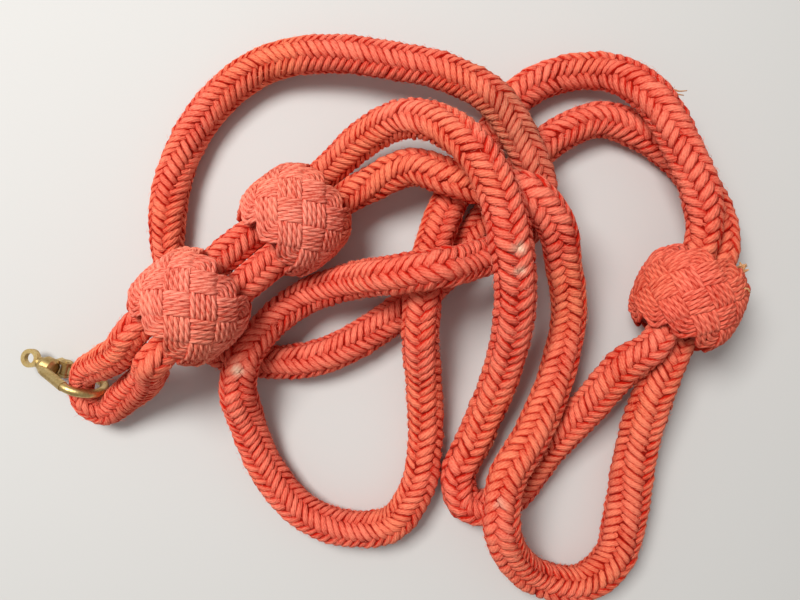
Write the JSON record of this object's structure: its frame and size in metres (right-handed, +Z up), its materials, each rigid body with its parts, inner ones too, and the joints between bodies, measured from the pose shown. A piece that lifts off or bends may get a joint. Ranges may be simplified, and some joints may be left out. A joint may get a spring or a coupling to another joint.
{
  "type": "rope lanyard",
  "caption": "Red plaited cord lanyard: an endless cord doubled on itself, woven sliding knots, a neck loop, and a small brass swivel snap hook on the end bight.",
  "frame": {"origin": "middle of the bounding box on the floor the lanyard lies on", "axes": "+Z up from the floor; +X along the lanyard's longest extent, from the snap hook towards the neck knot"},
  "size_m": [0.1821, 0.1443, 0.0352],
  "materials": {
    "plaited_worsted": "matt plaited worsted, slightly hairy",
    "cotton_core": "matt undyed cotton",
    "knot_worsted": "matt plied worsted yarn, a little faded",
    "felt_padding": "matt felt",
    "brass": "worn polish",
    "spring_steel": "drawn wire"
  },
  "bodies": {
    "cord": {"hook_bight_cover": "plaited_worsted", "link_upper_cover": "plaited_worsted", "link_lower_cover": "plaited_worsted", "over_leg_cover": "plaited_worsted", "under_leg_cover": "plaited_worsted", "neck_loop_cover": "plaited_worsted", "hook_bight_core": "cotton_core", "link_upper_core": "cotton_core", "link_lower_core": "cotton_core", "over_leg_core": "cotton_core", "under_leg_core": "cotton_core", "neck_loop_core": "cotton_core"},
    "hook_knot": {"hook_knot_weave": "knot_worsted", "hook_knot_mouse": "felt_padding"},
    "middle_knot": {"middle_knot_weave": "knot_worsted", "middle_knot_mouse": "felt_padding"},
    "neck_knot": {"neck_knot_weave": "knot_worsted", "neck_knot_mouse": "felt_padding"},
    "snap": {"snap_hook": "brass", "gate_rivet": "brass", "gate_spring": "spring_steel"},
    "gate": {"snap_gate": "brass"},
    "eye": {"swivel_eye": "brass"}
  },
  "joints": [
    {"name": "hook_knot_slide", "type": "slide", "parent": "cord", "child": "hook_knot", "axis": [0.718, 0.6555, -0.2341], "range_m": [-0.003, 0.003]},
    {"name": "middle_knot_slide", "type": "slide", "parent": "cord", "child": "middle_knot", "axis": [0.718, 0.6555, -0.2341], "range_m": [-0.003, 0.003]},
    {"name": "neck_knot_slide", "type": "slide", "parent": "cord", "child": "neck_knot", "axis": [0.4226, 0.9063, 0], "range_m": [-0.003, 0.003]},
    {"name": "snap_swing", "type": "hinge", "parent": "cord", "child": "snap", "pos_m": [-0.0728, -0.0158, 0.00785], "axis": [0.3907, 0.9205, 0], "range_deg": [0, 28]},
    {"name": "gate_open", "type": "hinge", "parent": "snap", "child": "gate", "pos_m": [-0.07936, -0.01236, 0.00367], "axis": [-0.349, -0.9145, -0.2048], "range_deg": [0, 16], "stiffness_Nm_per_rad": 0.01, "springref_deg": -11.46, "deforming": ["gate_spring"]},
    {"name": "eye_swivel", "type": "hinge", "parent": "snap", "child": "eye", "pos_m": [-0.0832, -0.01136, 0.00576], "axis": [-0.9065, 0.3848, -0.1736], "continuous": true}
  ]
}
